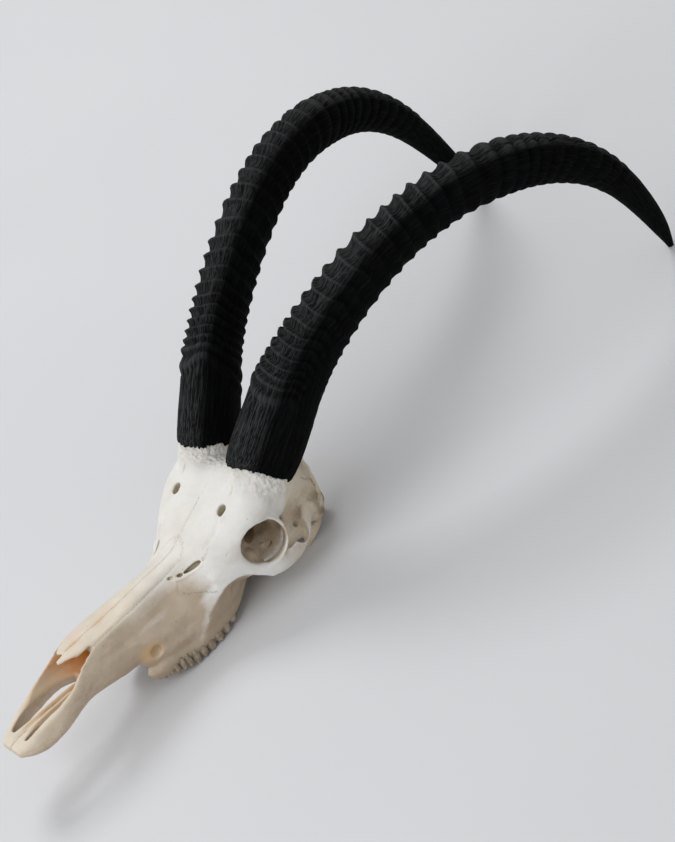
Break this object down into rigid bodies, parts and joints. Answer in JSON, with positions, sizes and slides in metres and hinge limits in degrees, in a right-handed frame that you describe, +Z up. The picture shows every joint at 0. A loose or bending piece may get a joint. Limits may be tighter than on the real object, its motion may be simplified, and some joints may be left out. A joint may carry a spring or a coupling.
{
  "type": "antelope skull with horns",
  "caption": "Bleached antelope skull without its lower jaw, with a pair of long black ringed horns that sweep back and down.",
  "frame": {"origin": "middle of the bounding box, on the surface that the skull rests on", "axes": "+Z up; -Y is where the animal faces, so the horns sweep back along +Y; +X is the animal's left"},
  "size_m": [0.3438, 0.8378, 0.2771],
  "materials": {
    "bone": "bleached bone, matt",
    "horn": "black keratin, matt and finely fibrous",
    "tooth": "worn, stained enamel, satin"
  },
  "bodies": {
    "root": {"skull": "bone", "left_horn": "horn", "right_horn": "horn", "left_premolar_2": "tooth", "left_premolar_3": "tooth", "left_premolar_4": "tooth", "left_molar_1": "tooth", "left_molar_2": "tooth", "left_molar_3": "tooth", "right_premolar_2": "tooth", "right_premolar_3": "tooth", "right_premolar_4": "tooth", "right_molar_1": "tooth", "right_molar_2": "tooth", "right_molar_3": "tooth"}
  },
  "joints": []
}
